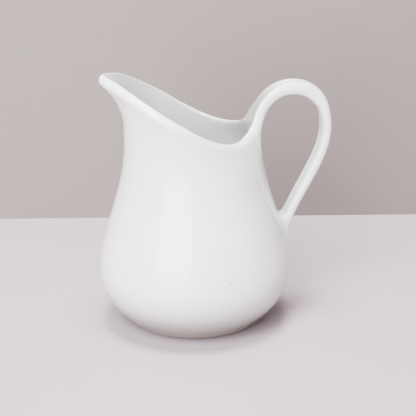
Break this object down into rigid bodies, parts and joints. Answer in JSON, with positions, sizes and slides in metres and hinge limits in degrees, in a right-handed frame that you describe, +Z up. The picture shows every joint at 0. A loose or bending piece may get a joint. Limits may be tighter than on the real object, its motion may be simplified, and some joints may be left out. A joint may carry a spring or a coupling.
{
  "type": "milk jug",
  "caption": "White glazed porcelain milk jug with a pear-shaped body, a swept rim drawn out to a pouring spout, and a tall strap handle.",
  "frame": {"origin": "on the surface that the jug stands on, under the middle of its whole box, handle and spout included; the body's own upright axis is 10.8 mm from it towards the spout", "axes": "+Z up, +X towards the handle, so the spout points along -X; +Y across the jug"},
  "size_m": [0.1136, 0.092, 0.1248],
  "materials": {
    "glaze": "glossy white transparent glaze on porcelain",
    "biscuit": "bare fired porcelain, fine and matt"
  },
  "bodies": {
    "root": {"body": "glaze", "foot_ring": "biscuit", "handle": "glaze", "upper_slip_joint": "glaze", "lower_slip_joint": "glaze"}
  },
  "joints": []
}
